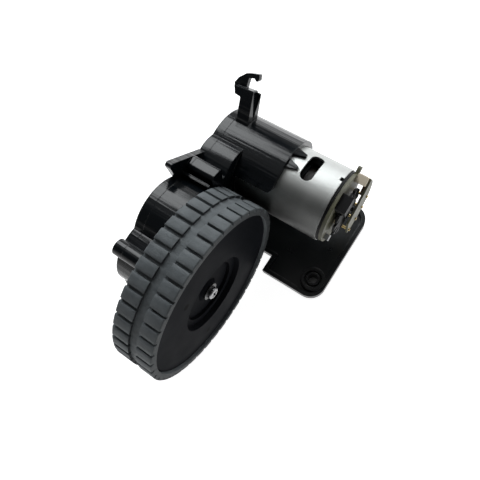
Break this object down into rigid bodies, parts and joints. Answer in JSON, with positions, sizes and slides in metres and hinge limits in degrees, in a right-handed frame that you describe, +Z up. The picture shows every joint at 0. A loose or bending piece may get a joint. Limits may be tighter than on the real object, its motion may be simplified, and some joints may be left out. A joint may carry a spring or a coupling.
{
  "type": "robot vacuum wheel module",
  "caption": "Swinging drive wheel for a floor-cleaning robot: treaded wheel, spur gearbox, brushed motor with encoder boards, and the screw-down bracket it pivots on",
  "frame": {"origin": "on the bracket's flat underside, straight below the motor shaft, level with the front rim of the motor sleeve; the underside's plane also touches the tyre at rest", "axes": "+X from the wheel towards the motor, +Y from the wheel's outer face towards the gearbox cover, +Z up from the bracket's underside"},
  "size_m": [0.1033, 0.0613, 0.068],
  "materials": {
    "black_moulding": "black glass-filled moulding, soft sheen",
    "matt_black_plastic": "black moulded plastic, dull",
    "black_hub_plastic": "black moulded hub, satin",
    "grey_rubber": "grey moulded tread rubber, matt",
    "can_steel": "drawn and plated steel can",
    "bright_steel": "zinc plated or ground steel",
    "core_steel": "stacked lamination steel",
    "dark_ferrite": "sintered dark grey",
    "bronze": "sintered oil bronze",
    "copper": "copper",
    "brass_pins": "brass",
    "natural_gear_plastic": "unpainted white gear plastic",
    "olive_board": "laminate board with a lacquered face",
    "cream_plastic": "cream plug-socket moulding",
    "brown_component": "dipped electrical component",
    "grey_component": "moulded electrical component"
  },
  "bodies": {
    "bracket": {"bracket": "black_moulding", "bracket_cradle": "black_moulding", "pivot_post": "black_moulding", "bracket_stop": "black_moulding", "pivot_pin": "bright_steel"},
    "arm": {"gearbox_housing": "black_moulding", "gearbox_cover": "black_moulding", "case_screws": "bright_steel", "front_output_bush": "bronze", "rear_output_bush": "bronze", "first_axle": "bright_steel", "second_axle": "bright_steel", "third_axle": "bright_steel", "motor_can": "can_steel", "motor_magnets": "dark_ferrite", "motor_end_cap": "matt_black_plastic", "motor_brushes": "dark_ferrite", "front_motor_bearing": "bronze", "rear_motor_bearing": "bronze", "motor_screws": "bright_steel", "motor_board": "olive_board", "encoder_board": "olive_board", "board_pins": "brass_pins", "encoder_sensor": "matt_black_plastic", "connector_housing": "cream_plastic", "connector_pins": "brass_pins", "capacitor": "brown_component", "grey_component": "grey_component"},
    "drive_wheel": {"tyre": "grey_rubber", "wheel_hub": "black_hub_plastic", "output_shaft": "bright_steel", "output_gear": "natural_gear_plastic", "wheel_washer": "bright_steel", "wheel_screw": "bright_steel"},
    "rotor": {"motor_shaft": "bright_steel", "armature_core": "core_steel", "armature_windings": "copper", "commutator": "copper", "motor_pinion": "brass_pins", "encoder_wheel": "matt_black_plastic"},
    "gear_one": {"first_gear": "natural_gear_plastic"},
    "gear_two": {"second_gear": "natural_gear_plastic"},
    "gear_three": {"third_gear": "natural_gear_plastic"}
  },
  "joints": [
    {"name": "arm_swing", "type": "hinge", "parent": "bracket", "child": "arm", "pos_m": [0, 0.0266, 0.03339], "axis": [0, 1, 0], "range_deg": [0, 25]},
    {"name": "wheel_spin", "type": "hinge", "parent": "arm", "child": "drive_wheel", "pos_m": [-0.04909, 0.0165, 0.034], "axis": [0, 1, 0], "continuous": true},
    {"name": "rotor_spin", "type": "hinge", "parent": "arm", "child": "rotor", "pos_m": [0, 0, 0.03339], "axis": [0, 1, 0], "continuous": true},
    {"name": "gear_one_spin", "type": "hinge", "parent": "arm", "child": "gear_one", "pos_m": [-0.00887, 0.0205, 0.03991], "axis": [0, 1, 0], "continuous": true},
    {"name": "gear_two_spin", "type": "hinge", "parent": "arm", "child": "gear_two", "pos_m": [-0.02128, 0.024, 0.03843], "axis": [0, 1, 0], "continuous": true},
    {"name": "gear_three_spin", "type": "hinge", "parent": "arm", "child": "gear_three", "pos_m": [-0.03601, 0.022, 0.04517], "axis": [0, 1, 0], "continuous": true}
  ],
  "couplings": [
    {"joint": "gear_three_spin", "follows": "wheel_spin", "ratio": -1.8667},
    {"joint": "gear_two_spin", "follows": "wheel_spin", "ratio": 5.3333},
    {"joint": "gear_one_spin", "follows": "wheel_spin", "ratio": -16.889},
    {"joint": "rotor_spin", "follows": "wheel_spin", "ratio": 45.037}
  ]
}
